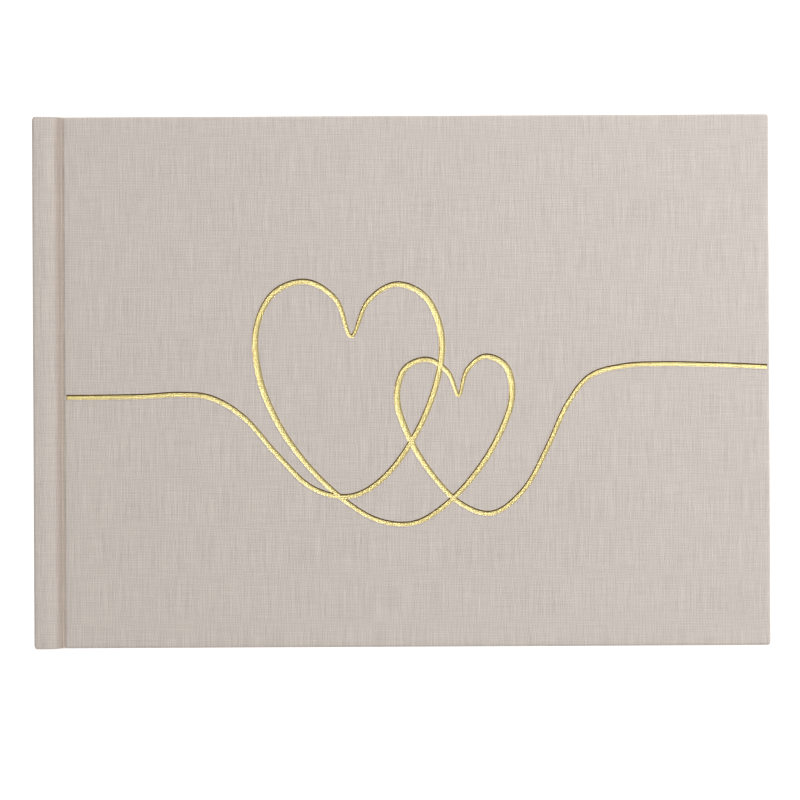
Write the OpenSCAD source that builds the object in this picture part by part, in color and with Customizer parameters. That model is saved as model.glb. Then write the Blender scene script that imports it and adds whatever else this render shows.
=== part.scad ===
// Landscape guest book in a case binding: two cloth-covered boards and a flat
// spine joined by pressed cloth joints, round a sewn text block.
// The book lies on its back cover. X runs from the spine to the fore-edge, Y from
// tail to head, Z from the back cover to the front cover. Millimetres.

/* [Case] */
// Overall width of the closed book, spine face to fore-edge
cover_w = 254; // [200:1:300]
// Height of the covers, tail to head
cover_h = 183.2; // [140:0.1:220]
// Overall thickness of the closed book
book_t = 18; // [18:0.5:18]
// Thickness of the cover boards
board_t = 2.6; // [2:0.1:2.6]
// Thickness of the spine board
spine_board_t = 2; // [1.5:0.1:2]
// Thickness of the linen book cloth
cloth_t = 0.35; // [0.25:0.05:0.35]
// Width of the cloth turned in round the boards
turn_in = 15; // [12:1:18]
// Distance from the spine face to the cloth over the board's joint edge
joint_edge = 10.6; // [10.6:0.1:11.2]
// Depth of the pressed joint below the cover
joint_depth = 1.1; // [0.8:0.1:2.4]
// How far the spine stands past the covers at head and tail
spine_proud = 0.3; // [0:0.1:0.5]
// Corner radius of the covers at the fore-edge
corner_r = 1; // [0.6:0.1:1.2]

/* [Text block] */
// Thickness of one leaf
leaf_t = 0.16; // [0.16:0.01:0.16]
// Height of the leaves
page_h = 176; // [130:1:178]
// Square: how far the cover stands past the leaves at the fore-edge
fore_square = 4; // [3:0.5:6]
// Sections that stay in the block
fixed_sections = 7; // [7:1:7]
// Leaves in one section
section_leaves = 8; // [8:1:8]

/* [Foil] */
// Width of the foil line
line_w = 1.65; // [1.2:0.05:2]
// Depth that the foil is pressed into the cloth
deboss = 0.2; // [0.1:0.05:0.25]

/* [Hidden] */

linen = [0.80, 0.76, 0.72];
paper = [0.96, 0.94, 0.89];
greyboard = [0.55, 0.53, 0.50];
gold = [0.90, 0.74, 0.36];

paste_t = leaf_t;                      // pastedown, the same paper as the flyleaves
inner = cloth_t + board_t + cloth_t + paste_t;   // outside of a cover to its inner face, 3.46
block_s = 3.6;                         // back of the folds from the spine face
page_end = cover_w - fore_square;
leaf_from = 14.5;                      // a turning leaf is flat from here; nearer the fold it bends
gutter_end = leaf_from - 0.05;
leaf_pitch = leaf_t + 0.005;
fly_z = inner + 0.05;                  // underside of the back flyleaf
section_z = fly_z + leaf_t + 0.02;
section_t = section_leaves * leaf_pitch;
section_pitch = section_t + 0.01;
turning_z = section_z + fixed_sections * section_pitch;   // underside of the lowest turning leaf
front_fly_z = book_t - inner - 0.05 - leaf_t;
mull_t = 0.2;
flap_end = 30;                         // how far the mull reaches over the boards
hw = cover_h / 2;
sw = hw + spine_proud;

function arc(cx, cy, r, a0, a1, n = 8) =
    r <= 0 ? [[cx, cy]] : [for (i = [0:n]) let (a = a0 + (a1 - a0) * i / n) [cx + r * cos(a), cy + r * sin(a)]];

// Rectangle whose left and right corners have their own radii
function rounded(x0, y0, x1, y1, rl, rr) = concat(
    arc(x1 - rr, y1 - rr, rr, 0, 90), arc(x0 + rl, y1 - rl, rl, 90, 180),
    arc(x0 + rl, y0 + rl, rl, 180, 270), arc(x1 - rr, y0 + rr, rr, 270, 360));

module plate(x0, y0, x1, y1, z0, z1, rl = 0, rr = 0)
    translate([0, 0, z0]) linear_extrude(z1 - z0) polygon(rounded(x0, y0, x1, y1, rl, rr));

// A profile drawn in X and Z, run along Y
module along_y(y0, y1)
    translate([0, y1, 0]) rotate([90, 0, 0]) linear_extrude(y1 - y0) children();

// The frame's origin is under the middle of the closed book
module book_frame() translate([-cover_w / 2, 0, 0]) children();

// Turns a back-cover shape over to make the front one
module as_front() translate([0, 0, book_t]) mirror([0, 0, 1]) children();

// ---- cover, drawn as the back cover with its outer face at z = 0
module board_shape()
    plate(joint_edge + cloth_t, -hw + cloth_t, cover_w - cloth_t, hw - cloth_t, cloth_t, cloth_t + board_t, 0, corner_r - cloth_t);

module cover_cloth_shape()
    difference() {
        plate(joint_edge, -hw, cover_w, hw, 0, cloth_t + board_t + cloth_t, 0, corner_r);
        board_shape();
        // inside of the cover between the turned-in edges, open to the joint
        plate(joint_edge - 1, -hw + turn_in, cover_w - turn_in, hw - turn_in, cloth_t + board_t, inner + 1);
    }

// The sheet lies on the turn-ins round its edge and drops to the board inside them
module pastedown_shape() {
    z0 = cloth_t + board_t;
    x1 = page_end + 0.6;
    y1 = page_h / 2 + 0.6;
    difference() {
        plate(joint_edge + cloth_t, -y1, x1, y1, z0 + 0.005, inner);
        plate(joint_edge - 1, -y1 - 1, flap_end + 0.5, y1 + 1, z0 - 1, inner - paste_t);
        difference() {
            plate(flap_end, -y1 - 1, x1 + 1, y1 + 1, z0 - 1, inner - paste_t);
            plate(flap_end + 0.5, -hw + turn_in + 0.3, cover_w - turn_in - 0.3, hw - turn_in - 0.3, z0 - 2, inner);
        }
        plate(flap_end + 0.5 + paste_t, -hw + turn_in + 0.3 + paste_t, cover_w - turn_in - 0.3 - paste_t, hw - turn_in - 0.3 - paste_t, z0 + paste_t, inner + 1);
    }
}

// Mull glued to the inside of the board, and across the joint to the back of the block
module mull_shape(s0, s1)
    plate(s0, -hw + turn_in + 2, s1, hw - turn_in - 2, cloth_t + board_t + 0.005, cloth_t + board_t + mull_t);

// ---- pressed joint: the cloth leaves the spine level and sinks against the board's edge
joint_from = spine_board_t + 2 * cloth_t - 0.3;
function joint_z(s) = joint_depth * pow(max(0, (s - 3.9) / (joint_edge - 0.7 - 3.9)), 1.3);

module joint_profile(thick, from = joint_from) {
    ss = [for (i = [0:18]) from + (joint_edge - 0.7 - from) * i / 18];
    polygon(concat([for (s = ss) [s, joint_z(s)]], [[joint_edge, joint_depth]],
        [[joint_edge, joint_depth + thick]], [for (i = [18:-1:0]) [ss[i], joint_z(ss[i]) + thick]]));
}

module joint_cloth_shape() {
    along_y(-sw, sw) joint_profile(cloth_t);
    // the cloth is double where it is turned in at head and tail
    along_y(sw - turn_in, sw) joint_profile(2 * cloth_t, spine_board_t + 2 * cloth_t + 0.02);
    along_y(-sw, -sw + turn_in) joint_profile(2 * cloth_t, spine_board_t + 2 * cloth_t + 0.02);
}

// The folded part of an endpaper: one side runs over the joint to the pastedown, the other is the flyleaf's gutter
module endpaper_fold_shape() {
    plate(block_s, -page_h / 2, joint_edge + cloth_t - 0.05, page_h / 2, inner - paste_t, inner - 0.01);
    plate(block_s, -page_h / 2, gutter_end, page_h / 2, fly_z, fly_z + leaf_t);
    plate(block_s, -page_h / 2, block_s + 0.15, page_h / 2, inner - paste_t, fly_z + leaf_t);
}

// ---- spine
module spine_cloth_shape() {
    in_s = cloth_t + spine_board_t;
    intersection() {
        difference() {
            union() {
                along_y(-sw, sw) polygon(rounded(0, 0, joint_from, book_t, 0.9, 0));
                plate(0, sw - turn_in, in_s + cloth_t, sw, cloth_t + 0.02, book_t - cloth_t - 0.02);
                plate(0, -sw, in_s + cloth_t, -sw + turn_in, cloth_t + 0.02, book_t - cloth_t - 0.02);
            }
            plate(cloth_t, -sw + cloth_t, in_s, sw - cloth_t, cloth_t, book_t - cloth_t);
            plate(cloth_t, -sw + turn_in, cover_w, sw - turn_in, cloth_t, book_t - cloth_t);
        }
        plate(0, -sw, 20, sw, -1, book_t + 1, 0.8, 0);
    }
}

module spine_board_shape()
    plate(cloth_t, -sw + cloth_t, cloth_t + spine_board_t - 0.01, sw - cloth_t, cloth_t, book_t - cloth_t);

// ---- text block
// A folded section: flat leaves with a rounded fold at the back
module section(n) {
    z0 = section_z + (n - 1) * section_pitch;
    r = section_t / 2;
    along_y(-page_h / 2, page_h / 2)
        polygon(concat(arc(block_s + r, z0 + r, r, 90, 270, 10), [[page_end, z0], [page_end, z0 + section_t]]));
}

// The sewn fold and gutter of the front section, which bend when its leaves turn
module section_gutter() {
    z0 = turning_z;
    r = section_t / 2;
    along_y(-page_h / 2, page_h / 2)
        polygon(concat(arc(block_s + r, z0 + r, r, 90, 270, 10), [[gutter_end, z0], [gutter_end, z0 + section_t - 0.005]]));
}

module leaf_shape(z0) plate(leaf_from, -page_h / 2, page_end, page_h / 2, z0, z0 + leaf_t);
// leaf 1 is the front leaf of the section, leaf 8 its last
module leaf(n) leaf_shape(turning_z + (section_leaves - n) * leaf_pitch);

module band(side) {
    y = side * (page_h / 2 + 0.85);
    // cotton bead over the folds
    translate([block_s + 0.45, y, inner + 0.15]) cylinder(r = 0.8, h = book_t - 2 * inner - 0.3, $fn = 32);
    // tape glued down the back of the block
    translate([block_s - 0.7, min(side * (page_h / 2 - 9), side * (page_h / 2 + 0.5)), inner + 0.15])
        cube([0.22, 9.5, book_t - 2 * inner - 0.3]);
    translate([block_s - 0.7, y - 0.3, inner + 0.15])
        cube([1, 0.6, book_t - 2 * inner - 0.3]);
}

stations = [-80, -48, -16, 16, 48, 80];

// ---- foil: one line from the joint to the fore-edge that draws two linked hearts.
// Each row is x from the spine face, y from the middle of the cover, and the line's relative width.
line_points = [
    [11, -5, 0.95], [24, -5, 1], [38, -4.8, 1], [51, -4.2, 1.05], [62, -5.6, 1.05], [73, -12.5, 1], [84, -25, 0.95], [96, -36.5, 0.95],
    [109.5, -39.5, 1], [121.5, -32.5, 1.1], [132, -18, 1.2], [139, -1, 1.25], [141, 15, 1.25], [136, 28.5, 1.2], [125.5, 33.5, 1.1], [115.5, 27.5, 0.95],
    [109.8, 15.5, 0.75],
    [104.8, 28, 0.95], [94.5, 34.5, 1.1], [83, 30.5, 1.2], [77, 18, 1.25], [78, 2, 1.25], [84, -13.5, 1.2], [93.5, -27.5, 1.05], [105.5, -39.5, 0.95],
    [118, -47.5, 0.9], [130.5, -49, 0.95], [141, -43.5, 1.05], [151.5, -33, 1.15], [160, -20, 1.2], [165, -6.5, 1.25], [163.5, 4.5, 1.2], [156, 8.5, 1.05],
    [149.5, 3.5, 0.9], [146.8, -5, 0.7],
    [143.2, 3, 0.9], [136, 7.5, 1.05], [128, 4, 1.2], [125.5, -6.5, 1.25], [129.5, -19, 1.15], [137, -31.5, 1.05], [147, -42, 0.95],
    [158.5, -45.5, 0.95], [169.5, -37, 1], [177.5, -22.5, 1.05], [184, -8.5, 1.05], [192, 1.5, 1], [204, 5, 1], [217, 5.6, 0.95], [230, 5.4, 0.95], [242, 5, 0.95], [254, 4.4, 0.95]];

function mix(a, b, c, d, t) = 0.5 * (2 * b + (c - a) * t + (2 * a - 5 * b + 4 * c - d) * t * t + (3 * b - a - 3 * c + d) * t * t * t);
last = len(line_points) - 1;
steps = 5;
line_path = concat([for (i = [0:last - 1], k = [0:steps - 1])
    mix(line_points[max(i - 1, 0)], line_points[i], line_points[i + 1], line_points[min(i + 2, last)], k / steps)],
    [line_points[last]]);

module line_solid(z0, z1, grow = 0)
    translate([0, 0, z0]) linear_extrude(z1 - z0) offset(delta = grow) intersection() {
        union() for (i = [0:len(line_path) - 2])
            hull() for (p = [line_path[i], line_path[i + 1]])
                translate([p[0], p[1]]) circle(d = line_w * p[2], $fn = 16);
        translate([joint_edge + 0.7, -hw]) square([cover_w - joint_edge - 1.1, cover_h]);
    }

// ================= nodes =================
module front_board() color(greyboard) book_frame() as_front() board_shape();
module back_board() color(greyboard) book_frame() board_shape();
module front_cover_cloth() color(linen) book_frame() difference() {
    as_front() cover_cloth_shape();
    line_solid(book_t - deboss, book_t + 1);
}
module back_cover_cloth() color(linen) book_frame() cover_cloth_shape();
module front_pastedown() color(paper) book_frame() as_front() pastedown_shape();
module back_pastedown() color(paper) book_frame() pastedown_shape();
module front_mull_flap() color([0.9, 0.88, 0.8]) book_frame() as_front() mull_shape(joint_edge + cloth_t + 0.1, flap_end);
module back_mull_flap() color([0.9, 0.88, 0.8]) book_frame() mull_shape(block_s - 0.45, flap_end);
module front_joint_mull() color([0.9, 0.88, 0.8]) book_frame() as_front() mull_shape(block_s - 0.45, joint_edge + cloth_t + 0.05);
module foil_flourish() color(gold) book_frame() line_solid(book_t - deboss, book_t - deboss + 0.05, -0.02);
module spine_board() color(greyboard) book_frame() spine_board_shape();
module spine_cloth() color(linen) book_frame() spine_cloth_shape();
module front_joint_cloth() color(linen) book_frame() as_front() joint_cloth_shape();
module back_joint_cloth() color(linen) book_frame() joint_cloth_shape();
module front_endpaper_fold() color(paper) book_frame() as_front() endpaper_fold_shape();
module back_endpaper_fold() color(paper) book_frame() endpaper_fold_shape();
module spine_mull() color([0.9, 0.88, 0.8]) book_frame()
    plate(block_s - 0.45, -hw + turn_in + 2, block_s - 0.25, hw - turn_in - 2, cloth_t + board_t + mull_t + 0.005, book_t - cloth_t - board_t - mull_t - 0.005);
module spine_lining() color([0.72, 0.60, 0.44]) book_frame()
    plate(block_s - 0.68, -page_h / 2 + 10, block_s - 0.48, page_h / 2 - 10, inner + 0.1, book_t - inner - 0.1);
module head_band() color(linen) book_frame() band(1);
module tail_band() color(linen) book_frame() band(-1);
module sewing_thread() color([0.95, 0.93, 0.88]) book_frame()
    for (y = stations) translate([block_s - 0.115, y, section_z + 0.4]) cylinder(r = 0.11, h = 8 * section_pitch - 0.8, $fn = 16);
module section_1() color(paper) book_frame() section(1);
module section_2() color(paper) book_frame() section(2);
module section_3() color(paper) book_frame() section(3);
module section_4() color(paper) book_frame() section(4);
module section_5() color(paper) book_frame() section(5);
module section_6() color(paper) book_frame() section(6);
module section_7() color(paper) book_frame() section(7);
module section_8_gutter() color(paper) book_frame() section_gutter();
module back_flyleaf() color(paper) book_frame() leaf_shape(fly_z);
module front_flyleaf() color(paper) book_frame() leaf_shape(front_fly_z);
module leaf_1() color(paper) book_frame() leaf(1);
module leaf_2() color(paper) book_frame() leaf(2);
module leaf_3() color(paper) book_frame() leaf(3);
module leaf_4() color(paper) book_frame() leaf(4);
module leaf_5() color(paper) book_frame() leaf(5);
module leaf_6() color(paper) book_frame() leaf(6);
module leaf_7() color(paper) book_frame() leaf(7);
module leaf_8() color(paper) book_frame() leaf(8);

front_board();
front_cover_cloth();
front_pastedown();
front_mull_flap();
foil_flourish();
back_board();
back_cover_cloth();
back_pastedown();
back_mull_flap();
spine_board();
spine_cloth();
front_joint_cloth();
back_joint_cloth();
front_endpaper_fold();
back_endpaper_fold();
front_joint_mull();
spine_mull();
spine_lining();
head_band();
tail_band();
sewing_thread();
section_1();
section_2();
section_3();
section_4();
section_5();
section_6();
section_7();
section_8_gutter();
back_flyleaf();
front_flyleaf();
leaf_1();
leaf_2();
leaf_3();
leaf_4();
leaf_5();
leaf_6();
leaf_7();
leaf_8();
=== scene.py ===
import bpy, math, random
import numpy as np
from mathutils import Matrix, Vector, geometry


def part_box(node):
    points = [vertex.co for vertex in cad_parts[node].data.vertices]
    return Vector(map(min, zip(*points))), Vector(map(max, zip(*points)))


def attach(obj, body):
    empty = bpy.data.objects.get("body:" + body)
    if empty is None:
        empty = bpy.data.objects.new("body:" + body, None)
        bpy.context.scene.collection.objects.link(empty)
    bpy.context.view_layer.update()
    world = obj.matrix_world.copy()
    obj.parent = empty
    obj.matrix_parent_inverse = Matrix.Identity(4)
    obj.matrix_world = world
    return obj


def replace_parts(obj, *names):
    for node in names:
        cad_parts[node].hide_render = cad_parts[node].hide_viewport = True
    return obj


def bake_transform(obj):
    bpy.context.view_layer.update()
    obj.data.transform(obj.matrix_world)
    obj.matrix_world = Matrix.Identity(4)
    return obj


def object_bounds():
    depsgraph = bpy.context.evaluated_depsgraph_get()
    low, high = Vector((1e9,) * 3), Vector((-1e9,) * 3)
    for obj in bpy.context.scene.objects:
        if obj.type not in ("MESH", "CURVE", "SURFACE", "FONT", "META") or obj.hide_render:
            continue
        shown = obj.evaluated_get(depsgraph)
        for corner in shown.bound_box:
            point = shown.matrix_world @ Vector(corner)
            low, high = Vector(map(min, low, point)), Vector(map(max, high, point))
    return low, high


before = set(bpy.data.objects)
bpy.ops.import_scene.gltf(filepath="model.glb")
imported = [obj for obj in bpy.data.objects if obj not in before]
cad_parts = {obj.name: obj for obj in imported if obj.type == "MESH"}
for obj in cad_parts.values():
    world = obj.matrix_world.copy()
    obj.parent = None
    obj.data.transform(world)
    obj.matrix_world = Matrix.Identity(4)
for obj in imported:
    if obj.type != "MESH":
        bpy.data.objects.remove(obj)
cad_lo, cad_hi = [list(p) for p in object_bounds()]
random.seed(11)
rng = np.random.default_rng(11)

# All lengths below are in mm, s from the spine face, y from the middle, z from the table.
MM = 0.001
W = (cad_hi[0] - cad_lo[0]) / MM
T = cad_hi[2] / MM
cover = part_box("front_cover_cloth")
JOINT_EDGE = cover[0][0] / MM + W / 2
HW = cover[1][1] / MM
SW = cad_hi[1] / MM
CLOTH = 0.35
BLOCK_S = 3.6
PAGE_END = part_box("section_1")[1][0] / MM + W / 2
PAGE_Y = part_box("section_1")[1][1] / MM
LEAF_T = 0.16
PITCH = 0.165
SECTION_T = 8 * PITCH
SECTION_PITCH = SECTION_T + 0.01
INNER = 3.46
COVER_T = 3.3
FLY_Z = INNER + 0.05
SECTION_Z = FLY_Z + LEAF_T + 0.02
TURN_Z = SECTION_Z + 7 * SECTION_PITCH
TURN_IN = 15.0


# ---------------------------------------------------------------- shader helpers
class Nodes:
    def __init__(self, name):
        self.mat = bpy.data.materials.new(name)
        self.mat.use_nodes = True
        self.t = self.mat.node_tree
        self.bsdf = self.t.nodes["Principled BSDF"]

    def new(self, kind, **kw):
        n = self.t.nodes.new(kind)
        for k, v in kw.items():
            setattr(n, k, v)
        return n

    def put(self, socket, v):
        if isinstance(v, bpy.types.NodeSocket):
            self.t.links.new(v, socket)
        else:
            socket.default_value = v

    def math(self, op, a, b=0.0, c=None, clamp=False):
        n = self.new("ShaderNodeMath", operation=op, use_clamp=clamp)
        self.put(n.inputs[0], a)
        self.put(n.inputs[1], b)
        if c is not None:
            self.put(n.inputs[2], c)
        return n.outputs[0]

    def sep(self, v):
        n = self.new("ShaderNodeSeparateXYZ")
        self.put(n.inputs[0], v)
        return n.outputs

    def join(self, x, y, z=0.0):
        n = self.new("ShaderNodeCombineXYZ")
        for i, v in enumerate((x, y, z)):
            self.put(n.inputs[i], v)
        return n.outputs[0]

    def noise(self, vec, scale, detail=2.0, rough=0.5):
        n = self.new("ShaderNodeTexNoise")
        self.put(n.inputs["Vector"], vec)
        n.inputs["Scale"].default_value = scale
        n.inputs["Detail"].default_value = detail
        n.inputs["Roughness"].default_value = rough
        return n.outputs["Fac"]

    def mix(self, f, a, b):
        n = self.new("ShaderNodeMix", data_type="RGBA")
        self.put(n.inputs[0], f)
        self.put(n.inputs[6], a)
        self.put(n.inputs[7], b)
        return n.outputs[2]

    def span(self, v, lo, hi, a=0.0, b=1.0, smooth=False):
        n = self.new("ShaderNodeMapRange", interpolation_type="SMOOTHSTEP" if smooth else "LINEAR")
        for i, x in enumerate((v, lo, hi, a, b)):
            self.put(n.inputs[i], x)
        return n.outputs[0]

    def attr(self, name):
        return self.new("ShaderNodeAttribute", attribute_name=name)

    def mm(self):
        """object coordinates, in mm"""
        n = self.new("ShaderNodeTexCoord")
        m = self.new("ShaderNodeVectorMath", operation="SCALE")
        self.put(m.inputs[0], n.outputs["Object"])
        m.inputs[3].default_value = 1000.0
        return m.outputs[0]

    def scale_colour(self, colour, k):
        m = self.new("ShaderNodeVectorMath", operation="SCALE")
        self.put(m.inputs[0], colour[:3] if isinstance(colour, tuple) else colour)
        self.put(m.inputs[3], k)
        return m.outputs[0]

    def bump(self, height, distance_mm, strength=1.0):
        n = self.new("ShaderNodeBump")
        n.inputs["Strength"].default_value = strength
        n.inputs["Distance"].default_value = distance_mm * MM
        self.put(n.inputs["Height"], height)
        self.put(self.bsdf.inputs["Normal"], n.outputs[0])

    def set(self, **kw):
        for k, v in kw.items():
            self.put(self.bsdf.inputs[k.replace("_", " ")], v)


def weave(n, uv, pitch):
    """Plain weave: height of the upper thread, and slow colour variation along single threads."""
    x, y, _ = n.sep(uv)
    wob = n.noise(uv, 0.16, 2)
    x = n.math("ADD", x, n.math("MULTIPLY", n.math("SUBTRACT", wob, 0.5), 1.1))
    y = n.math("ADD", y, n.math("MULTIPLY", n.math("SUBTRACT", n.noise(n.join(y, x), 0.31, 2), 0.5), 0.55))
    a = n.math("MULTIPLY", x, math.pi / pitch)
    b = n.math("MULTIPLY", y, math.pi / (pitch * 1.06))
    sa, sb = n.math("SINE", a), n.math("SINE", b)
    over = n.math("MULTIPLY", sa, sb)                      # which thread is on top
    warp = n.math("ABSOLUTE", sa)
    weft = n.math("ABSOLUTE", sb)
    # single threads vary in thickness and colour along their length
    tx = n.noise(n.join(n.math("MULTIPLY", x, 2.7), n.math("MULTIPLY", y, 0.06)), 1.0, 3, 0.75)
    ty = n.noise(n.join(n.math("MULTIPLY", x, 0.07), n.math("MULTIPLY", y, 2.6), 7.0), 1.0, 3, 0.75)
    slub = n.span(n.noise(n.join(n.math("MULTIPLY", x, 1.7), n.math("MULTIPLY", y, 0.16), 3.0), 1.0, 1), 0.63, 0.75, smooth=True)
    slub_y = n.span(n.noise(n.join(n.math("MULTIPLY", x, 0.16), n.math("MULTIPLY", y, 1.7), 5.0), 1.0, 1), 0.65, 0.77, smooth=True)
    hw = n.math("MULTIPLY", warp, n.math("MULTIPLY_ADD", over, 0.28, 0.72))
    hf = n.math("MULTIPLY", weft, n.math("MULTIPLY_ADD", over, -0.28, 0.72))
    h = n.math("MAXIMUM", hw, hf)
    h = n.math("ADD", h, n.math("MULTIPLY", n.math("SUBTRACT", tx, 0.5), 1.1))
    h = n.math("ADD", h, n.math("MULTIPLY", n.math("SUBTRACT", ty, 0.5), 0.9))
    h = n.math("ADD", h, n.math("MULTIPLY", n.math("ADD", slub, slub_y), 0.35))
    tone = n.math("ADD", n.math("MULTIPLY", n.math("SUBTRACT", tx, 0.5), 0.66), n.math("MULTIPLY", n.math("SUBTRACT", ty, 0.5), 0.34))
    tone = n.math("ADD", tone, n.math("MULTIPLY", n.math("SUBTRACT", n.math("MAXIMUM", hw, n.math("MULTIPLY", hf, 0.8)), 0.58), 0.46))
    tone = n.math("SUBTRACT", tone, n.math("MULTIPLY", n.math("SUBTRACT", slub, slub_y), 0.05))
    cloud = n.math("MULTIPLY", n.math("SUBTRACT", n.noise(uv, 0.02, 3), 0.5), 0.04)
    return h, n.math("ADD", n.math("ADD", tone, cloud), 1.0)


LINEN = (0.660, 0.579, 0.513, 1)
GOLD = (1.0, 0.80, 0.34, 1)


def cloth_material(name, foil=False, joint=False):
    n = Nodes(name)
    uv = n.attr("cloth").outputs["Vector"]
    h, tone = weave(n, uv, 0.518)
    tint = LINEN
    if joint:
        # painted shade: the pressed joint's cloth is painted darker and warmer towards the board, standing in for the
        # groove's shade and warm bounce light
        u = n.sep(uv)[0]
        tint = n.mix(n.span(u, 7.0, 9.2, smooth=True), LINEN, (0.535, 0.437, 0.362, 1))
        # painted light: lighter again where the cloth turns up to the board, to lift the shade that the board's edge
        # casts there
        tint = n.mix(n.span(u, 9.65, 10.15, smooth=True), tint, (0.790, 0.672, 0.565, 1))
    colour = n.scale_colour(tint, tone)
    if not foil:
        n.set(Base_Color=colour, Roughness=0.88, Specular_IOR_Level=0.25, Sheen_Weight=0.12, Sheen_Roughness=0.5)
        n.bump(h, 0.075)
        return n.mat
    edge = n.attr("foil").outputs["Fac"]          # mm inside the line's edge
    grain = n.noise(uv, 2.6, 3, 0.65)
    reach = n.math("ADD", edge, n.math("MULTIPLY", n.math("SUBTRACT", h, 0.75), 0.22))
    reach = n.math("ADD", reach, n.math("MULTIPLY", n.math("SUBTRACT", grain, 0.5), 0.5))
    mask = n.span(reach, -0.10, -0.01, smooth=True)
    # worn to the thread in the weave's deepest gaps
    pits = n.span(n.math("ADD", n.math("MULTIPLY", h, 0.4), grain), 0.42, 0.56, 0.0, 1.0, smooth=True)
    mask = n.math("MULTIPLY", mask, pits)
    fine = n.noise(uv, 7.0, 2, 0.6)
    speck = n.noise(uv, 3.4, 2, 0.8)
    bright = n.math("ADD", n.span(grain, 0.25, 0.75, 0.74, 1.14), n.math("MULTIPLY", n.math("SUBTRACT", speck, 0.5), 2.3))
    bright = n.math("ADD", bright, n.math("MULTIPLY", n.math("SUBTRACT", h, 0.75), 0.35))
    # painted shade: the foil's edge is painted darker and browner, most on the upper and left sides of each stroke
    # (slopes facing -Y and +X), a little all round as a painted reflection of the dark room
    nx, ny, _ = n.sep(n.new("ShaderNodeNewGeometry").outputs["Normal"])
    painted_shade_side = n.span(n.math("SUBTRACT", n.math("MULTIPLY", nx, 0.45), ny), 0.03, 0.30, smooth=True)
    painted_edge_shade = n.span(n.math("ADD", edge, n.math("MULTIPLY", n.math("SUBTRACT", fine, 0.5), 0.12)), 0.14, 0.68, 1.0, 0.0, smooth=True)
    painted_edge_shade = n.math("SUBTRACT", 1.0, n.math("MULTIPLY", painted_edge_shade, n.math("MULTIPLY_ADD", painted_shade_side, 0.78, 0.10)))
    # painted shade: the cloth's slope just outside the upper and left edges of the foil is painted dark brown
    painted_rim_shade = n.math("MULTIPLY", n.span(edge, -0.22, -0.04, smooth=True), n.math("MULTIPLY", painted_shade_side, 0.75))
    colour = n.mix(painted_rim_shade, colour, (0.26, 0.155, 0.080, 1))
    gold = n.mix(n.math("MULTIPLY", n.math("SUBTRACT", 1.0, painted_edge_shade), 0.75), GOLD, (0.80, 0.46, 0.15, 1))
    gold = n.scale_colour(gold, n.math("MULTIPLY", bright, painted_edge_shade))
    n.set(Base_Color=n.mix(mask, colour, gold), Metallic=mask, Roughness=n.span(mask, 0, 1, 0.85, 0.33),
          Specular_IOR_Level=0.3)
    n.bump(n.math("ADD", h, n.math("MULTIPLY", fine, 0.8)), 0.075)
    return n.mat


def paper_material(name, colour, fibre=0.03, lines=False):
    n = Nodes(name)
    p = n.mm()
    f = n.noise(p, 1.4, 4, 0.7)
    cloud = n.noise(p, 0.03, 2)
    k = n.math("ADD", n.span(f, 0.2, 0.8, 1 - fibre, 1 + fibre), n.math("MULTIPLY", n.math("SUBTRACT", cloud, 0.5), 0.035))
    fleck = n.span(n.noise(p, 5.0, 1), 0.72, 0.80, 0.0, 0.06)
    # no two sheets are quite the same shade
    sheet = n.math("MULTIPLY_ADD", n.new("ShaderNodeObjectInfo").outputs["Random"], 0.09, -0.05)
    k = n.math("ADD", k, sheet)
    n.set(Base_Color=n.scale_colour(colour, n.math("SUBTRACT", k, fleck)), Roughness=0.82, Specular_IOR_Level=0.25)
    n.bump(f, 0.018)
    return n.mat


def board_material():
    n = Nodes("greyboard")
    p = n.mm()
    x, y, z = n.sep(p)
    f = n.noise(p, 1.1, 5, 0.75)
    layer = n.noise(n.join(n.math("MULTIPLY", x, 0.15), n.math("MULTIPLY", y, 0.15), n.math("MULTIPLY", z, 5.0)), 1.0, 2)
    fleck = n.span(n.noise(p, 3.5, 1), 0.66, 0.74, 0.0, 0.16)
    k = n.math("ADD", n.span(f, 0.2, 0.8, 0.84, 1.14), n.math("MULTIPLY", n.math("SUBTRACT", layer, 0.5), 0.3))
    n.set(Base_Color=n.scale_colour((0.36, 0.34, 0.31, 1), n.math("ADD", k, fleck)), Roughness=0.92, Specular_IOR_Level=0.2)
    n.bump(f, 0.06)
    return n.mat


def mull_material():
    n = Nodes("mull")
    x, y, z = n.sep(n.mm())
    u = n.math("ADD", x, z)
    wa = n.math("ABSOLUTE", n.math("SINE", n.math("MULTIPLY", u, math.pi / 1.1)))
    wb = n.math("ABSOLUTE", n.math("SINE", n.math("MULTIPLY", y, math.pi / 1.1)))
    h = n.math("MAXIMUM", n.math("POWER", wa, 3.0), n.math("POWER", wb, 3.0))
    k = n.math("ADD", n.span(h, 0, 1, 0.62, 1.03), n.math("MULTIPLY", n.math("SUBTRACT", n.noise(n.mm(), 2.0, 3), 0.5), 0.2))
    n.set(Base_Color=n.scale_colour((0.80, 0.77, 0.68, 1), k), Roughness=0.9, Specular_IOR_Level=0.2)
    n.bump(h, 0.12)
    return n.mat


def kraft_material():
    n = Nodes("kraft")
    x, y, z = n.sep(n.mm())
    f = n.noise(n.join(n.math("MULTIPLY", x, 2.0), n.math("MULTIPLY", y, 0.4), n.math("MULTIPLY", z, 2.0)), 1.2, 5, 0.75)
    n.set(Base_Color=n.scale_colour((0.48, 0.34, 0.21, 1), n.span(f, 0.2, 0.8, 0.8, 1.18)), Roughness=0.75, Specular_IOR_Level=0.3)
    n.bump(f, 0.03)
    return n.mat


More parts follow.
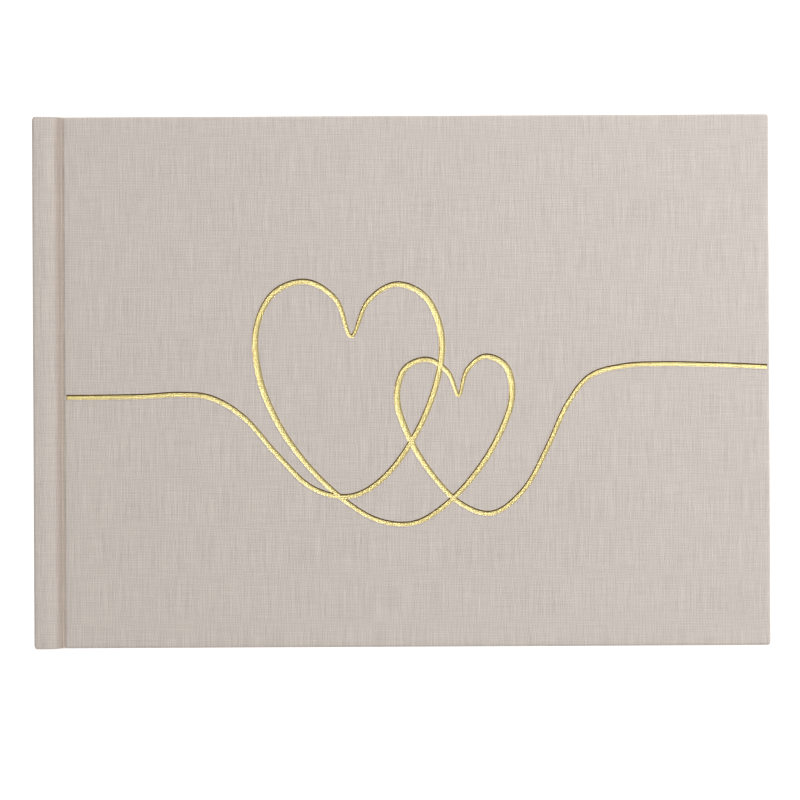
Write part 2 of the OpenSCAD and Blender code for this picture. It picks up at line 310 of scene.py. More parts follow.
def thread_material(name, a, b, stripe):
    """Twisted or wound thread. With a stripe it alternates two colours along Z."""
    n = Nodes(name)
    p = n.mm()
    x, y, z = n.sep(p)
    tw = n.math("SINE", n.math("ADD", n.math("MULTIPLY", z, 14.0), n.math("MULTIPLY", n.math("ADD", x, y), 9.0)))
    f = n.noise(p, 4.0, 3)
    s = n.span(n.math("SINE", n.math("MULTIPLY", z, 2 * math.pi / stripe)), -0.15, 0.15) if stripe else 0.0
    k = n.math("ADD", n.span(tw, -1, 1, 0.86, 1.05), n.math("MULTIPLY", n.math("SUBTRACT", f, 0.5), 0.2))
    n.set(Base_Color=n.scale_colour(n.mix(s, a, b), k), Roughness=0.7, Specular_IOR_Level=0.3, Sheen_Weight=0.15)
    n.bump(n.math("ADD", tw, f), 0.04)
    return n.mat


M_CLOTH = cloth_material("book_cloth")
M_JOINT = cloth_material("joint_cloth", joint=True)
M_FOIL = cloth_material("gold_foil", foil=True)
M_LEAF = paper_material("leaf_paper", (0.90, 0.85, 0.775, 1))
M_END = paper_material("end_paper", (0.88, 0.82, 0.74, 1), 0.04)
M_BOARD = board_material()
M_MULL = mull_material()
M_KRAFT = kraft_material()
M_THREAD = thread_material("linen_thread", (0.86, 0.84, 0.78, 1), (0.86, 0.84, 0.78, 1), 0)
M_BAND = thread_material("band", (0.86, 0.82, 0.74, 1), (0.56, 0.48, 0.41, 1), 1.3)


# ---------------------------------------------------------------- mesh helpers
def build(name, verts, faces, material, cloth=None, foil=None, smooth=True):
    v = np.asarray(verts, float)
    v = np.column_stack([v[:, 0] - W / 2, v[:, 1], v[:, 2]]) * MM
    me = bpy.data.meshes.new(name)
    me.from_pydata(v.tolist(), [], [list(map(int, f)) for f in faces])
    me.validate()
    if cloth is not None:
        a = me.attributes.new("cloth", "FLOAT_VECTOR", "POINT")
        a.data.foreach_set("vector", np.asarray(cloth, np.float32).ravel())
    if foil is not None:
        a = me.attributes.new("foil", "FLOAT", "POINT")
        a.data.foreach_set("value", np.asarray(foil, np.float32))
    me.polygons.foreach_set("use_smooth", [smooth] * len(me.polygons))
    me.materials.append(material)
    o = bpy.data.objects.new(name, me)
    bpy.context.scene.collection.objects.link(o)
    return o


def sharpen(o, degrees=35):
    """Marks creases, so that flats shade flat and curves stay smooth."""
    import bmesh
    bm = bmesh.new()
    bm.from_mesh(o.data)
    limit = math.radians(degrees)
    for e in bm.edges:
        e.smooth = len(e.link_faces) == 2 and e.calc_face_angle(0) < limit
    bmesh.ops.recalc_face_normals(bm, faces=bm.faces)
    bm.to_mesh(o.data)
    bm.free()
    return o


def smoothstep(x, a, b):
    t = np.clip((np.asarray(x, float) - a) / (b - a), 0, 1)
    return t * t * (3 - 2 * t)


def ribbon(name, path, thick, y0, y1, material, ny=3, jag=0.0):
    """A sheet of even thickness that follows a path in s and z, square at its edges."""
    p = np.array(path, float)
    d = np.gradient(p, axis=0)
    d /= np.linalg.norm(d, axis=1)[:, None]
    nrm = np.column_stack([-d[:, 1], d[:, 0]])
    ys = np.linspace(y0, y1, ny)
    verts, cloth = [], []
    u = np.concatenate([[0], np.cumsum(np.linalg.norm(np.diff(p, axis=0), axis=1))])
    for i in range(len(p)):
        for side in (1, -1):
            q = p[i] + nrm[i] * side * thick / 2
            for y in ys:
                verts.append((q[0], y, q[1]))
                cloth.append((u[i], y, 0))
    verts = np.array(verts)
    m = 2 * ny
    faces = []
    for i in range(len(p) - 1):
        a, b = i * m, (i + 1) * m
        for j in range(ny - 1):
            faces.append((a + j, b + j, b + j + 1, a + j + 1))
            faces.append((a + ny + j, a + ny + j + 1, b + ny + j + 1, b + ny + j))
        faces.append((a, a + ny, b + ny, b))
        faces.append((a + ny - 1, b + ny - 1, b + 2 * ny - 1, a + 2 * ny - 1))
    e = (len(p) - 1) * m
    for j in range(ny - 1):
        faces.append((j, j + 1, ny + j + 1, ny + j))
        faces.append((e + j, e + ny + j, e + ny + j + 1, e + j + 1))
    return sharpen(build(name, verts, faces, material, cloth))


def strip(name, path, inward, thick, half_y, material, u0=0.0, ny=46):
    """Turned-in cloth along a path in s and z: rounded at head and tail, thickness towards inward (+1 or -1 of the path's left)."""
    p = np.array(path, float)
    d = np.gradient(p, axis=0)
    d /= np.linalg.norm(d, axis=1)[:, None]
    nrm = np.column_stack([-d[:, 1], d[:, 0]]) * inward
    half = np.asarray(half_y, float) * np.ones(len(p))
    u = u0 + np.concatenate([[0], np.cumsum(np.linalg.norm(np.diff(p, axis=0), axis=1))])
    verts, cloth = [], []
    r = thick / 2
    for i in range(len(p)):
        h = half[i] - r
        sec = [(y, 0, y) for y in np.linspace(-h, h, ny)]
        sec += [(h + r * math.sin(a), r - r * math.cos(a), h + r * a) for a in np.linspace(0, math.pi, 8)[1:-1]]
        sec += [(y, thick, 2 * h - y + r * math.pi) for y in np.linspace(h, -h, ny)]
        sec += [(-h - r * math.sin(a), r + r * math.cos(a), -h - r * (math.pi - a)) for a in np.linspace(0, math.pi, 8)[1:-1]]
        for y, depth, v in sec:
            q = p[i] + nrm[i] * depth
            verts.append((q[0], y, q[1]))
            cloth.append((u[i], v, 0))
    m = len(sec)
    faces = []
    for i in range(len(p) - 1):
        for j in range(m):
            k = (j + 1) % m
            faces.append((i * m + j, i * m + k, (i + 1) * m + k, (i + 1) * m + j))
    faces.append(tuple(range(m)))
    faces.append(tuple(range((len(p) - 1) * m, len(p) * m)))
    return sharpen(build(name, verts, faces, material, cloth), 50)


# ---------------------------------------------------------------- the foil's line, the same as in the CAD
LINE = [
    [11, -5, 0.95], [24, -5, 1], [38, -4.8, 1], [51, -4.2, 1.05], [62, -5.6, 1.05], [73, -12.5, 1], [84, -25, 0.95], [96, -36.5, 0.95],
    [109.5, -39.5, 1], [121.5, -32.5, 1.1], [132, -18, 1.2], [139, -1, 1.25], [141, 15, 1.25], [136, 28.5, 1.2], [125.5, 33.5, 1.1], [115.5, 27.5, 0.95],
    [109.8, 15.5, 0.75],
    [104.8, 28, 0.95], [94.5, 34.5, 1.1], [83, 30.5, 1.2], [77, 18, 1.25], [78, 2, 1.25], [84, -13.5, 1.2], [93.5, -27.5, 1.05], [105.5, -39.5, 0.95],
    [118, -47.5, 0.9], [130.5, -49, 0.95], [141, -43.5, 1.05], [151.5, -33, 1.15], [160, -20, 1.2], [165, -6.5, 1.25], [163.5, 4.5, 1.2], [156, 8.5, 1.05],
    [149.5, 3.5, 0.9], [146.8, -5, 0.7],
    [143.2, 3, 0.9], [136, 7.5, 1.05], [128, 4, 1.2], [125.5, -6.5, 1.25], [129.5, -19, 1.15], [137, -31.5, 1.05], [147, -42, 0.95],
    [158.5, -45.5, 0.95], [169.5, -37, 1], [177.5, -22.5, 1.05], [184, -8.5, 1.05], [192, 1.5, 1], [204, 5, 1], [217, 5.6, 0.95], [230, 5.4, 0.95], [242, 5, 0.95], [254, 4.4, 0.95]]
LINE_W = 1.65
DEBOSS = 0.2


def line_path(steps):
    p = np.array(LINE, float)
    out = []
    n = len(p)
    for i in range(n - 1):
        a, b, c, d = p[max(i - 1, 0)], p[i], p[i + 1], p[min(i + 2, n - 1)]
        for k in range(steps):
            t = k / steps
            out.append(0.5 * (2 * b + (c - a) * t + (2 * a - 5 * b + 4 * c - d) * t * t + (3 * b - a - 3 * c + d) * t ** 3))
    out.append(p[-1])
    return np.array(out)


PATH = line_path(8)


def inside_line(pts):
    """mm inside the line's edge at each point, negative outside it"""
    pts = np.asarray(pts, float)[:, :2]
    best = np.full(len(pts), -1e9)
    for a, b in zip(PATH[:-1], PATH[1:]):
        ab = b[:2] - a[:2]
        t = np.clip(((pts - a[:2]) @ ab) / (ab @ ab), 0, 1)
        d = np.linalg.norm(pts - (a[:2] + t[:, None] * ab), axis=1)
        w = LINE_W * (a[2] + (b[2] - a[2]) * t) / 2
        best = np.maximum(best, w - d)
    return best


def press(pts):
    """depth of the pressed line below the cloth"""
    e = inside_line(pts)
    return DEBOSS * smoothstep(e, -0.10, 0.44), e


# ---------------------------------------------------------------- a covered board
def outline(inset, z, x0, x1, y, R, ts):
    """One closed loop. inset is (left, right, head and tail). Straight edges share the parameters ts; corners have 7 points."""
    l, r, t = inset
    pts = []
    cl, cr, ct = max(R, l), max(R, r), max(R, t)
    rc = max(R - max(l, r, t), 0.02)
    corners = [(x1 - cr, -y + ct, -90), (x1 - cr, y - ct, 0), (x0 + cl, y - ct, 90), (x0 + cl, -y + ct, 180)]
    for c in range(4):
        cx, cy, a0 = corners[c]
        for k in range(7):
            a = math.radians(a0 + 15 * k)
            pts.append((cx + rc * math.cos(a), cy + rc * math.sin(a), z))
        nx, ny_, _ = corners[(c + 1) % 4]
        a = math.radians(a0 + 90)
        p = np.array([cx + rc * math.cos(a), cy + rc * math.sin(a)])
        q = np.array([nx + rc * math.cos(a), ny_ + rc * math.sin(a)])
        for s in ts[c]:
            m = p + (q - p) * s
            pts.append((m[0], m[1], z))
    return np.array(pts)


def covered_board(name, foil):
    x0, x1, y, R, r = JOINT_EDGE, W, HW, 1.0, 0.85
    def edge_ts(n, extra=()):
        return sorted(set([round((k + 1) / (n + 1), 5) for k in range(n)] + [round(e, 5) for e in extra if 0.001 < e < 0.999]))
    span = 2 * (y - R)
    right_extra = [((4.4 + k * 0.2) + y - R) / span for k in range(-11, 12)] if foil else []
    left_extra = [(y - R - (-5.0 + k * 0.2)) / span for k in range(-11, 12)] if foil else []
    ts = [edge_ts(60, right_extra), edge_ts(80), edge_ts(60, left_extra), edge_ts(80)]
    rings, arcs = [], []
    for phi in (90, 75, 60, 45, 30, 15, 0):
        # phi 90 is the flat top's edge, 0 the upright side
        rings.append(((r * (1 - math.sin(math.radians(90 - phi))), ) * 3, T - r * (1 - math.cos(math.radians(90 - phi)))))
        arcs.append(r * math.radians(90 - phi))
    low = T - COVER_T
    r2 = 0.4
    side = (T - r) - (low + r2)
    for k in (0.5, 1.0):
        rings.append(((0.0,) * 3, T - r - side * k))
        arcs.append(r * math.pi / 2 + side * k)
    for deg in (30, 60, 90):
        a = math.radians(deg)
        rings.append(((r2 * (1 - math.cos(a)),) * 3, low + r2 * (1 - math.sin(a))))
        arcs.append(r * math.pi / 2 + side + r2 * a)
    base = r * math.pi / 2 + side + r2 * math.pi / 2
    for ins, z in (((2, 2, 2), low), ((6, 6, 6), low), ((19.0, TURN_IN - 0.05, TURN_IN - 0.05), low), ((19.3, TURN_IN + 0.05, TURN_IN + 0.05), low + 0.33)):
        rings.append((ins, z))
        arcs.append(base + ins[1])
    loops = [outline(i, z, x0, x1, y, R, ts) for i, z in rings]
    m = len(loops[0])
    first = loops[0]
    out_n = loops[6][:, :2] - first[:, :2]
    out_n /= np.linalg.norm(out_n, axis=1)[:, None]
    verts, cloth, foils = [], [], []
    depth0, e0 = press(first) if foil else (np.zeros(m), np.full(m, -9.0))
    for k, L in enumerate(loops):
        L = L.copy()
        if k <= 6:
            f = max(0.0, 1 - k / 5)
            L[:, 2] -= depth0 * f * math.cos(math.radians(15 * k))
            L[:, :2] -= out_n * (depth0 * f * math.sin(math.radians(15 * k)))[:, None]
        verts += L.tolist()
        c = first[:, :2] + out_n * (arcs[k])
        cloth += [(p[0], p[1], 0) for p in c]
        foils += list(e0 - 0.5 * max(0, k - 2)) if foil else [-9.0] * m
    faces = []
    for k in range(len(loops) - 1):
        for j in range(m):
            q = (j + 1) % m
            faces.append((k * m + j, (k + 1) * m + j, (k + 1) * m + q, k * m + q))
    last = (len(loops) - 1) * m
    faces.append(tuple(last + j for j in range(m)))
    # the flat top: loose points away from the line, close rows of points along it
    inner = []
    gx = np.arange(x0 + r + 3, x1 - r - 1, 4.2)
    gy = np.arange(-y + r + 3, y - r - 1, 3.7)
    for a, yy in enumerate(gy):
        for xx in gx:
            inner.append((xx + (2.1 if a % 2 else 0), yy))
    inner = np.array([p for p in inner if x0 + r + 1 < p[0] < x1 - r - 1])
    if foil:
        inner = inner[inside_line(inner) < -2.0]
        rows = []
        fine = line_path(26)
        seg = np.concatenate([[0], np.cumsum(np.linalg.norm(np.diff(fine[:, :2], axis=0), axis=1))])
        for offset, step in ((0.0, 0.7), (-0.40, 0.5), (-0.26, 0.45), (-0.12, 0.45), (0.06, 0.45), (0.18, 0.5), (0.75, 0.9), (1.6, 1.6)):
            n = int(seg[-1] / step)
            at = np.linspace(0, seg[-1], n)
            px, py, pw = (np.interp(at, seg, fine[:, c]) for c in range(3))
            d = np.column_stack([np.gradient(px), np.gradient(py)])
            d /= np.linalg.norm(d, axis=1)[:, None]
            if offset == 0.0:
                rows.append(np.column_stack([px, py]))
                continue
            # negative offsets lie inside the edge; the rest step outwards from just inside it
            reach = LINE_W * pw / 2 + (offset if offset < 0 else offset - 0.06)
            for sgn in (1, -1):
                rows.append(np.column_stack([px - d[:, 1] * reach * sgn, py + d[:, 0] * reach * sgn]))
        # close rings of points round the two sharp turns, where the rows spread apart
        for cx, cy in (LINE[16][:2], LINE[34][:2]):
            for rr in (0.80, 0.95, 1.15, 1.45, 1.9):
                t = np.arange(0, 2 * math.pi, 0.3 / rr)
                tip = np.column_stack([cx + rr * np.cos(t), cy + rr * np.sin(t)])
                rows.append(tip[inside_line(tip) < -0.17])
        dense = np.concatenate(rows)
        keep, seen = [], set()
        for p in dense:
            if not (x0 + r + 0.12 < p[0] < x1 - r - 0.12):
                continue
            key = (round(p[0] / 0.11), round(p[1] / 0.11))
            if key in seen:
                continue
            seen.add(key)
            keep.append(p)
        inner = np.concatenate([inner, np.array(keep)])
    pts2 = np.concatenate([first[:, :2], inner])
    ring_edges = [(j, (j + 1) % m) for j in range(m)]
    out = geometry.delaunay_2d_cdt([Vector(p) for p in pts2], ring_edges, [tuple(range(m))], 1, 1e-6)
    cv, cf, orig = np.array([[p.x, p.y] for p in out[0]]), out[2], out[3]
    depth, e = press(cv) if foil else (np.zeros(len(cv)), np.full(len(cv), -9.0))
    z = T - depth
    flat = -0.02 * (1 - np.cos(cv[:, 0] * 0.11)) * (1 - np.cos(cv[:, 1] * 0.13)) / 4
    edge_fade = np.clip(np.minimum.reduce([cv[:, 0] - x0 - r, x1 - r - cv[:, 0], cv[:, 1] + y - r, y - r - cv[:, 1]]) / 6, 0, 1)
    z = z + flat * edge_fade
    number = {}
    for i, o in enumerate(orig):
        ring = [q for q in o if q < m]
        if ring:
            number[i] = ring[0]
        else:
            number[i] = len(verts)
            verts.append((cv[i, 0], cv[i, 1], z[i]))
            cloth.append((cv[i, 0], cv[i, 1], 0))
            foils.append(e[i])
    top = [tuple(number[q] for q in f) for f in cf]
    top = [f for f in top if len(set(f)) == 3]
    return np.array(verts), faces, top, np.array(cloth), np.array(foils)


def turned_over(v):
    v = v.copy()
    v[:, 2] = T - v[:, 2]
    return v


v, sides, top, cloth, foils = covered_board("front", True)
front = sharpen(build("cloth_front_cover", v, sides + top, M_CLOTH, cloth, foils), 60)
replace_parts(front, "front_cover_cloth")
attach(front, "front_cover")

# foil: the pressed part of the same surface, a hair above the cloth
near = [f for f in top if max(foils[list(f)]) > -0.34]
used = sorted({i for f in near for i in f})
index = {q: i for i, q in enumerate(used)}
fv = v[used].copy()
lift = np.clip((foils[used] + 0.32) / 0.12, -0.5, 1)
fv[:, 2] += 0.012 * lift
shell_v = np.concatenate([fv, fv - [0, 0, 0.03]])
n_f = len(used)
ff = [tuple(index[i] for i in f) for f in near]
count = {}
for f in ff:
    for a, b in zip(f, f[1:] + f[:1]):
        count[(a, b)] = 1
rim = [(a, b) for a, b in count if (b, a) not in count]
shell_f = ff + [tuple(i + n_f for i in reversed(f)) for f in ff] + [(b, a, a + n_f, b + n_f) for a, b in rim]
foil = build("foil_line", shell_v, shell_f, M_FOIL, np.concatenate([cloth[used]] * 2), np.concatenate([foils[used]] * 2))
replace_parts(foil, "foil_flourish")
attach(foil, "front_cover")

v, sides, top, cloth, foils = covered_board("back", False)
back = sharpen(build("cloth_back_cover", turned_over(v), [tuple(reversed(f)) for f in sides + top], M_CLOTH, cloth + [400, 0, 0]), 60)
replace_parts(back, "back_cover_cloth")
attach(back, "book_block")


# ---------------------------------------------------------------- joints and spine
def joint_z(s):
    """how far the pressed joint lies below the cover's face"""
    return 1.1 * max(0.0, (s - 3.9) / (JOINT_EDGE - 0.7 - 3.9)) ** 1.3 if s < JOINT_EDGE - 0.7 else 1.1


def half_at(s):
    return SW + (HW - SW) * float(smoothstep(s, 6.0, JOINT_EDGE))


ss = [2.0, 2.4] + [2.8 + 0.3 * i for i in range(22)]
over = [(s, T - joint_z(s) - (0.10 if s < 2.1 else 0.03 if s < 2.5 else 0)) for s in ss]
# the cloth turns up out of the joint against the board's rounded edge
foot = joint_z(9.1) + 0.06
for s, up in ((9.4, 0.01), (9.65, 0.04), (9.9, 0.11), (10.15, 0.22), (10.38, 0.37), (10.55, 0.52), (10.70, 0.68)):
    ss.append(s)
    over.append((s, T - foot + up))
joint = strip("cloth_front_joint", over, -1, 2 * CLOTH, [half_at(s) for s in ss], M_JOINT, u0=2.0)
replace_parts(joint, "front_joint_cloth")
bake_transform(joint)

path = [(3.0, T - 0.12), (2.6, T - 0.03), (2.2, T), (1.5, T)]
cr = 0.9
path += [(cr - cr * math.sin(math.radians(a)), T - cr + cr * math.cos(math.radians(a))) for a in range(0, 91, 15)]
path += [(0, T - cr - (T - 2 * cr) * k / 6) for k in range(1, 6)]
path += [(cr - cr * math.cos(math.radians(a)), cr - cr * math.sin(math.radians(a))) for a in range(0, 91, 15)]
path += [(1.5, 0), (2.4, 0)] + [(s, T - z) for s, z in over[2:]]
# the spine's corners are rounded at head and tail
halves = [SW - 1.1 + math.sqrt(max(0.0, 1.21 - (1.1 - s) ** 2)) if s < 1.1 else SW for s, _ in path[:len(path) - len(ss[2:])]] + [half_at(s) for s in ss[2:]]
spine = strip("cloth_spine", path, 1, 2 * CLOTH, halves, M_CLOTH, u0=-20.0)
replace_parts(spine, "spine_cloth", "back_joint_cloth")
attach(spine, "book_block")


def spine_turn_in(name, side):
    """Cloth folded over the spine board's end and glued down inside: a hook in s and y, drawn out along z."""
    a, b, y1, y0, r = 0.36, 2.70, SW, SW - TURN_IN, 0.34
    def corner(cs, cy, rad, d0, d1, n=6):
        return [(cs + rad * math.cos(math.radians(d)), cy + rad * math.sin(math.radians(d))) for d in np.linspace(d0, d1, n)]
    outer = [(a, y1 - 0.32), (0.5, y1 - 0.20), (0.75, y1 - 0.08), (1.1, y1)] + corner(b - r, y1 - r, r, 90, 0) + [(b, y) for y in np.linspace(y1 - 1.2, y0, 9)]
    inner = [(b - CLOTH, y) for y in np.linspace(y0, y1 - 1.2, 9)] + [(b - CLOTH, y1 - CLOTH), (a, y1 - CLOTH)]
    sec = outer + inner
    zs = [0.37, 0.55] + list(np.linspace(1.2, T - 1.2, 9)) + [T - 0.55, T - 0.37]
    run = np.concatenate([[0], np.cumsum([math.dist(p, q) for p, q in zip(sec[:-1], sec[1:])])])
    verts, cloth = [], []
    for z in zs:
        for (s, y), d in zip(sec, run):
            verts.append((s, side * y, z))
            cloth.append((600 + z, d + 40 * side, 0))
    m = len(sec)
    faces = [(i * m + j, i * m + (j + 1) % m, (i + 1) * m + (j + 1) % m, (i + 1) * m + j) for i in range(len(zs) - 1) for j in range(m)]
    faces += [tuple(range(m)), tuple(range((len(zs) - 1) * m, len(zs) * m))]
    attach(sharpen(build(name, verts, faces, M_CLOTH, cloth), 50), "book_block")


spine_turn_in("cloth_spine_head", 1)
spine_turn_in("cloth_spine_tail", -1)


def x(s):
    return (s - W / 2) * MM


def bend_joint(o):
    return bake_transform(o)


mull = ribbon("mull_front_joint", [(3.2 + 0.39 * i, T - 3.055) for i in range(21)], 0.18, -74.6, 74.6, M_MULL, 5)
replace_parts(mull, "front_joint_mull")
bend_joint(mull)

# ---------------------------------------------------------------- endpapers
crossing = ribbon("endpaper_front_joint", [(3.68 + 0.4 * i, T - 3.375) for i in range(19)], 0.14, -PAGE_Y, PAGE_Y, M_END, 5)
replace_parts(crossing, "front_endpaper_fold")
bend_joint(crossing)
crossing_b = ribbon("endpaper_back_joint", [(3.68 + 0.4 * i, 3.375) for i in range(19)], 0.14, -PAGE_Y, PAGE_Y, M_END, 5)
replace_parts(crossing_b, "back_endpaper_fold")
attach(crossing_b, "book_block")


def pastedown(name, front_side):
    """The sheet glued down inside a cover: it drops over the edge of the turned-in cloth."""
    x0, x1, hy = JOINT_EDGE + 0.3, PAGE_END + 0.6, PAGE_Y + 0.6
    rx = (29.9, W - TURN_IN - 0.1)
    ry = HW - TURN_IN - 0.1
    xs = np.unique(np.concatenate([np.linspace(x0, x1, 50), rx[0] + np.linspace(-1.2, 1.2, 9), rx[1] + np.linspace(-1.2, 1.2, 9)]))
    ys = np.unique(np.concatenate([np.linspace(-hy, hy, 40), ry + np.linspace(-1.2, 1.2, 9), -ry + np.linspace(-1.2, 1.2, 9)]))
    def drop(a, b):
        return float(smoothstep(a, rx[0] - 0.7, rx[0] + 0.7) * (1 - smoothstep(a, rx[1] - 0.7, rx[1] + 0.7)) * (1 - smoothstep(abs(b), ry - 0.7, ry + 0.7)))
    verts, faces = [], []
    for a in xs:
        for b in ys:
            verts.append((a, b, T - INNER + 0.29 * drop(a, b)))
    n = len(verts)
    for a in xs:
        for b in ys:
            verts.append((a, b, T - INNER + 0.14 + 0.29 * drop(a, b)))
    m = len(ys)
    for i in range(len(xs) - 1):
        for j in range(m - 1):
            q = i * m + j
            faces.append((q, q + 1, q + m + 1, q + m))
            faces.append((n + q, n + q + m, n + q + m + 1, n + q + 1))
    loop = [i * m for i in range(len(xs))] + [(len(xs) - 1) * m + j for j in range(1, m)] + [i * m + m - 1 for i in range(len(xs) - 2, -1, -1)] + [j for j in range(m - 2, 0, -1)]
    for a, b in zip(loop, loop[1:] + loop[:1]):
        faces.append((a, b, b + n, a + n))
    verts = np.array(verts)
    if not front_side:
        verts = turned_over(verts)
    return sharpen(build(name, verts, faces, M_END), 60)


pd = pastedown("pastedown_front", True)
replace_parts(pd, "front_pastedown")
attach(pd, "front_cover")
pd = pastedown("pastedown_back", False)
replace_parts(pd, "back_pastedown")
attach(pd, "book_block")


# ---------------------------------------------------------------- leaves
def long_s(a, b):
    return [a + (b - a) * k / 14 for k in range(1, 15)]


def jit(k=0.05):
    return rng.uniform(-k, k)


def turning(name, z, start):
    """A leaf that turns: its gutter strip curls, the rest stays flat."""
    path = start + [(s, z) for s in np.arange(start[-1][0] + 0.4, 16.0, 0.4)] + [(s, z) for s in long_s(16.0, PAGE_END + jit() - 0.04)]
    o = ribbon(name, path, LEAF_T - 0.006, -PAGE_Y + 0.05 + jit(0.04), PAGE_Y - 0.05 + jit(0.04), M_END if "fly" in name else M_LEAF,
               5)
    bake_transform(o)
    return o


fly = turning("leaf_fly_front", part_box("front_flyleaf")[0][2] / MM + LEAF_T / 2, [(BLOCK_S + 0.1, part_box("front_flyleaf")[0][2] / MM + LEAF_T / 2)])
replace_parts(fly, "front_flyleaf")

centre_s = BLOCK_S + SECTION_T / 2


def fold(k, zc, a0, a1):
    """part of the fold of the k-th sheet out from the section's middle"""
    r = (k + 0.5) * PITCH
    return [(centre_s + r * math.cos(math.radians(a)), zc + r * math.sin(math.radians(a))) for a in np.linspace(a0, a1, 6)]


zc = TURN_Z + SECTION_T / 2
for i in range(1, 9):
    up = i <= 4
    k = 4 - i if up else i - 5
    z = zc + (k + 0.5) * PITCH * (1 if up else -1)
    o = turning("leaf_turning_%d" % i, z, fold(k, zc, 178, 90) if up else fold(k, zc, 182, 270))
    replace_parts(o, "leaf_%d" % i, *(["section_8_gutter"] if i == 1 else []))

for sct in range(1, 8):
    zc = SECTION_Z + (sct - 1) * SECTION_PITCH + SECTION_T / 2
    for k in range(4):
        r = (k + 0.5) * PITCH
        end = PAGE_END - 0.10 + jit(0.10)
        p = [(s, zc + r) for s in reversed(long_s(centre_s, end))] + fold(k, zc, 90, 180)[:-1] + fold(k, zc, 180, 270) + [(s, zc - r) for s in long_s(centre_s, end)]
        o = ribbon("sheet_%d_%d" % (sct, k + 1), p, LEAF_T - 0.006, -PAGE_Y + 0.09 + jit(0.09), PAGE_Y - 0.09 + jit(0.09), M_LEAF, 3)
        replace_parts(o, "section_%d" % sct)
        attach(o, "book_block")

z = FLY_Z + LEAF_T / 2
o = ribbon("leaf_fly_back", [(BLOCK_S + 0.1, z)] + [(s, z) for s in long_s(BLOCK_S + 0.1, PAGE_END - 0.06)], LEAF_T - 0.006, -PAGE_Y + 0.05, PAGE_Y - 0.05, M_END, 5)
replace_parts(o, "back_flyleaf")
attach(o, "book_block")


# ---------------------------------------------------------------- head and tail bands
def band(name, side):
    cx, cy, r, z0, z1 = BLOCK_S + 0.45, side * (PAGE_Y + 0.82), 0.74, INNER + 0.2, T - INNER - 0.2
    verts, faces = [], []
    na, nz = 20, 132
    for i in range(nz):
        t = i / (nz - 1)
        zz = z0 + (z1 - z0) * t
        end = min(1.0, math.sin(math.pi * min(t, 1 - t) / 0.10) if min(t, 1 - t) < 0.05 else 1.0)
        rr = r * (0.55 + 0.45 * end) * (0.93 + 0.07 * abs(math.sin(math.pi * zz / 0.42)))
        for k in range(na):
            a = 2 * math.pi * k / na + 0.35 * math.sin(zz * 7) * 0.1
            verts.append((cx + rr * math.cos(a), cy + rr * math.sin(a), zz))
    for i in range(nz - 1):
        for k in range(na):
            q = (k + 1) % na
            faces.append((i * na + k, i * na + q, (i + 1) * na + q, (i + 1) * na + k))
    faces.append(tuple(range(na)))
    faces.append(tuple(range((nz - 1) * na, nz * na)))
    o = sharpen(build(name + "_bead", verts, faces, M_BAND), 60)
    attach(o, "book_block")
    a, b = sorted((side * (PAGE_Y - 9), side * (PAGE_Y + 0.5)))
    tape = ribbon(name + "_tape", [(BLOCK_S - 0.59, z0 + (z1 - z0) * i / 12) for i in range(13)], 0.2, a, b, M_BAND, 9)
    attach(tape, "book_block")
    return o


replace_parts(band("head_band_cord", 1), "head_band")
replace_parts(band("tail_band_cord", -1), "tail_band")

# the solids that keep their CAD shape get their own finish
for node, m in (("front_board", M_BOARD), ("back_board", M_BOARD), ("spine_board", M_BOARD), ("front_mull_flap", M_MULL), ("back_mull_flap", M_MULL),
                ("spine_mull", M_MULL), ("spine_lining", M_KRAFT), ("sewing_thread", M_THREAD)):
    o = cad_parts[node]
    for i in range(len(o.material_slots)):
        o.material_slots[i].material = m

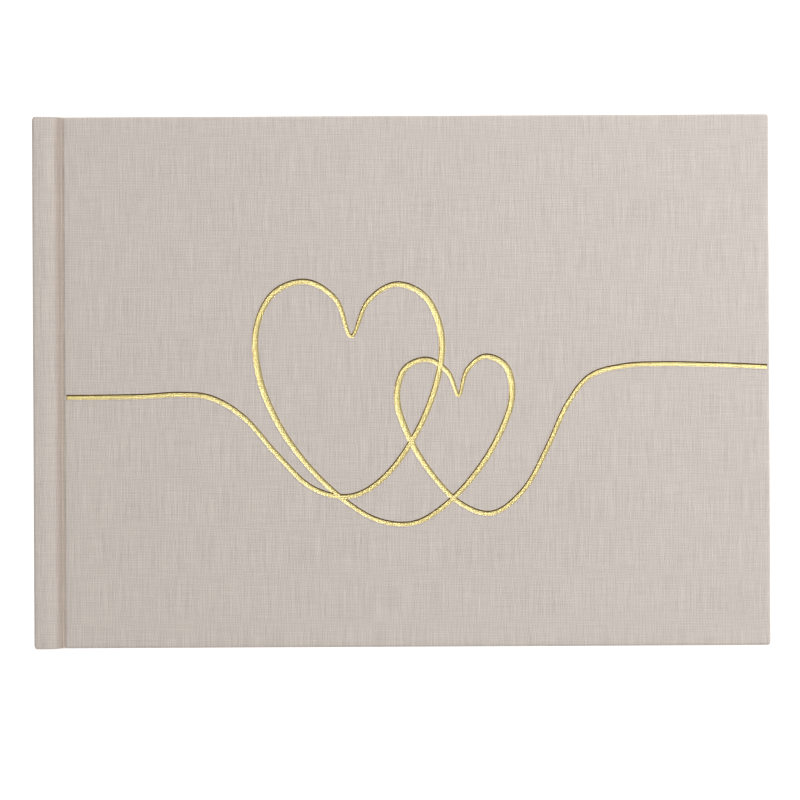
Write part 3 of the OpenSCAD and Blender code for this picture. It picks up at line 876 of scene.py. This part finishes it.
# ---------------------------------------------------------------- studio
floor_mat = Nodes("floor")
f = floor_mat.noise(floor_mat.mm(), 0.004, 2)
floor_mat.set(Base_Color=floor_mat.scale_colour((0.97, 0.97, 0.97, 1), floor_mat.span(f, 0, 1, 0.99, 1.01)), Roughness=0.9,
              Emission_Color=(1, 1, 1, 1), Emission_Strength=0.62)
bpy.ops.mesh.primitive_plane_add(size=40, location=(0, 0, -0.0003))
floor = bpy.context.object
floor.name = "floor"
floor.data.materials.append(floor_mat.mat)

world = bpy.data.worlds.new("studio")
bpy.context.scene.world = world
world.use_nodes = True
wt = world.node_tree
bg = wt.nodes["Background"]
tc = wt.nodes.new("ShaderNodeTexCoord")
sx = wt.nodes.new("ShaderNodeSeparateXYZ")
wt.links.new(tc.outputs["Generated"], sx.inputs[0])
def wmath(op, a, b):
    n = wt.nodes.new("ShaderNodeMath")
    n.operation = op
    for i, v in enumerate((a, b)):
        if isinstance(v, bpy.types.NodeSocket):
            wt.links.new(v, n.inputs[i])
        else:
            n.inputs[i].default_value = v
    return n.outputs[0]
up = wmath("MAXIMUM", sx.outputs[2], 0.0)
tilt = wmath("ADD", wmath("MULTIPLY", sx.outputs[0], 0.16), wmath("MULTIPLY", sx.outputs[1], 0.20))
level = wmath("MAXIMUM", wmath("ADD", wmath("ADD", wmath("MULTIPLY", up, 0.52), 0.225), tilt), 0.05)
wt.links.new(level, bg.inputs["Strength"])
bg.inputs["Color"].default_value = (1, 0.995, 0.985, 1)


def area(name, loc, size, watts, colour):
    l = bpy.data.lights.new(name, "AREA")
    l.shape = "DISK"
    l.size = size
    l.energy = watts
    l.color = colour
    o = bpy.data.objects.new(name, l)
    bpy.context.scene.collection.objects.link(o)
    o.location = loc
    o.rotation_mode = "QUATERNION"
    o.rotation_quaternion = (Vector((0, 0, 0)) - Vector(loc)).to_track_quat("-Z", "Y")


area("key", (0.50, 0.30, 0.72), 0.35, 4.2, (0.93, 1.0, 1.10))

cam = bpy.data.objects.new("camera", bpy.data.cameras.new("camera"))
bpy.context.scene.collection.objects.link(cam)
D = 2.0
cam.data.sensor_width = 36
cam.data.lens = 36 * D / 0.2758
cam.location = (-0.0005, -0.0065, T * MM + D)
cam.rotation_euler = (0, 0, -math.radians(0.28))
cam.data.clip_start, cam.data.clip_end = 0.05, 20
bpy.context.scene.camera = cam
bpy.context.scene.view_settings.view_transform = "Standard"
